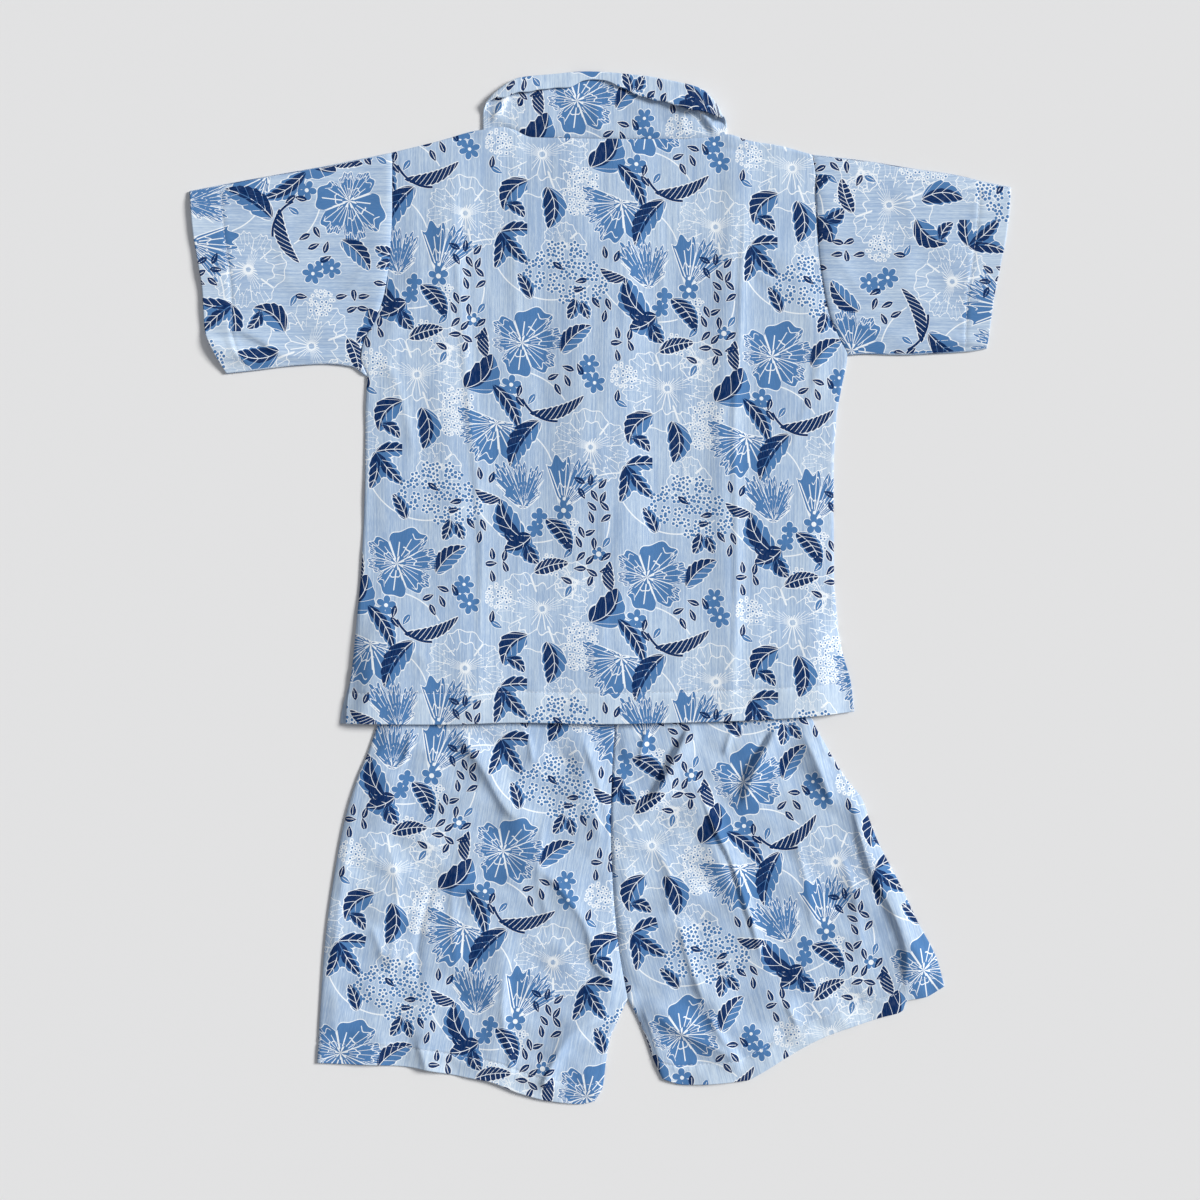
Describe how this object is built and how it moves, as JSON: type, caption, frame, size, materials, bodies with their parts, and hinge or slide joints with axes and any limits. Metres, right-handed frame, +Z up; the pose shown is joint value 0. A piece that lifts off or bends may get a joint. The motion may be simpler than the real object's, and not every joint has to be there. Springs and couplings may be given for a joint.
{
  "type": "child's two-piece set of a short-sleeved shirt and shorts",
  "caption": "Child's short-sleeved collared shirt and matching shorts in a blue floral cotton, laid flat on their fronts with the shirt's hem over the waist.",
  "frame": {"origin": "centre of the bounding box in plan, on the surface that the set lies on", "axes": "+Y towards the collar, +X to the right seen from above on the garments' backs, +Z up from the surface"},
  "size_m": [0.6112, 0.7684, 0.0106],
  "materials": {
    "printed_cotton": "matt printed cotton",
    "button": "smooth"
  },
  "bodies": {
    "root": {"shirt_back": "printed_cotton", "shirt_front_left": "printed_cotton", "shirt_front_right": "printed_cotton", "sleeve_left": "printed_cotton", "sleeve_right": "printed_cotton", "collar": "printed_cotton", "button_1": "button", "button_2": "button", "button_3": "button", "button_4": "button", "button_5": "button", "waistband": "printed_cotton", "shorts_back_left": "printed_cotton", "shorts_back_right": "printed_cotton", "shorts_front_left": "printed_cotton", "shorts_front_right": "printed_cotton"}
  },
  "joints": []
}
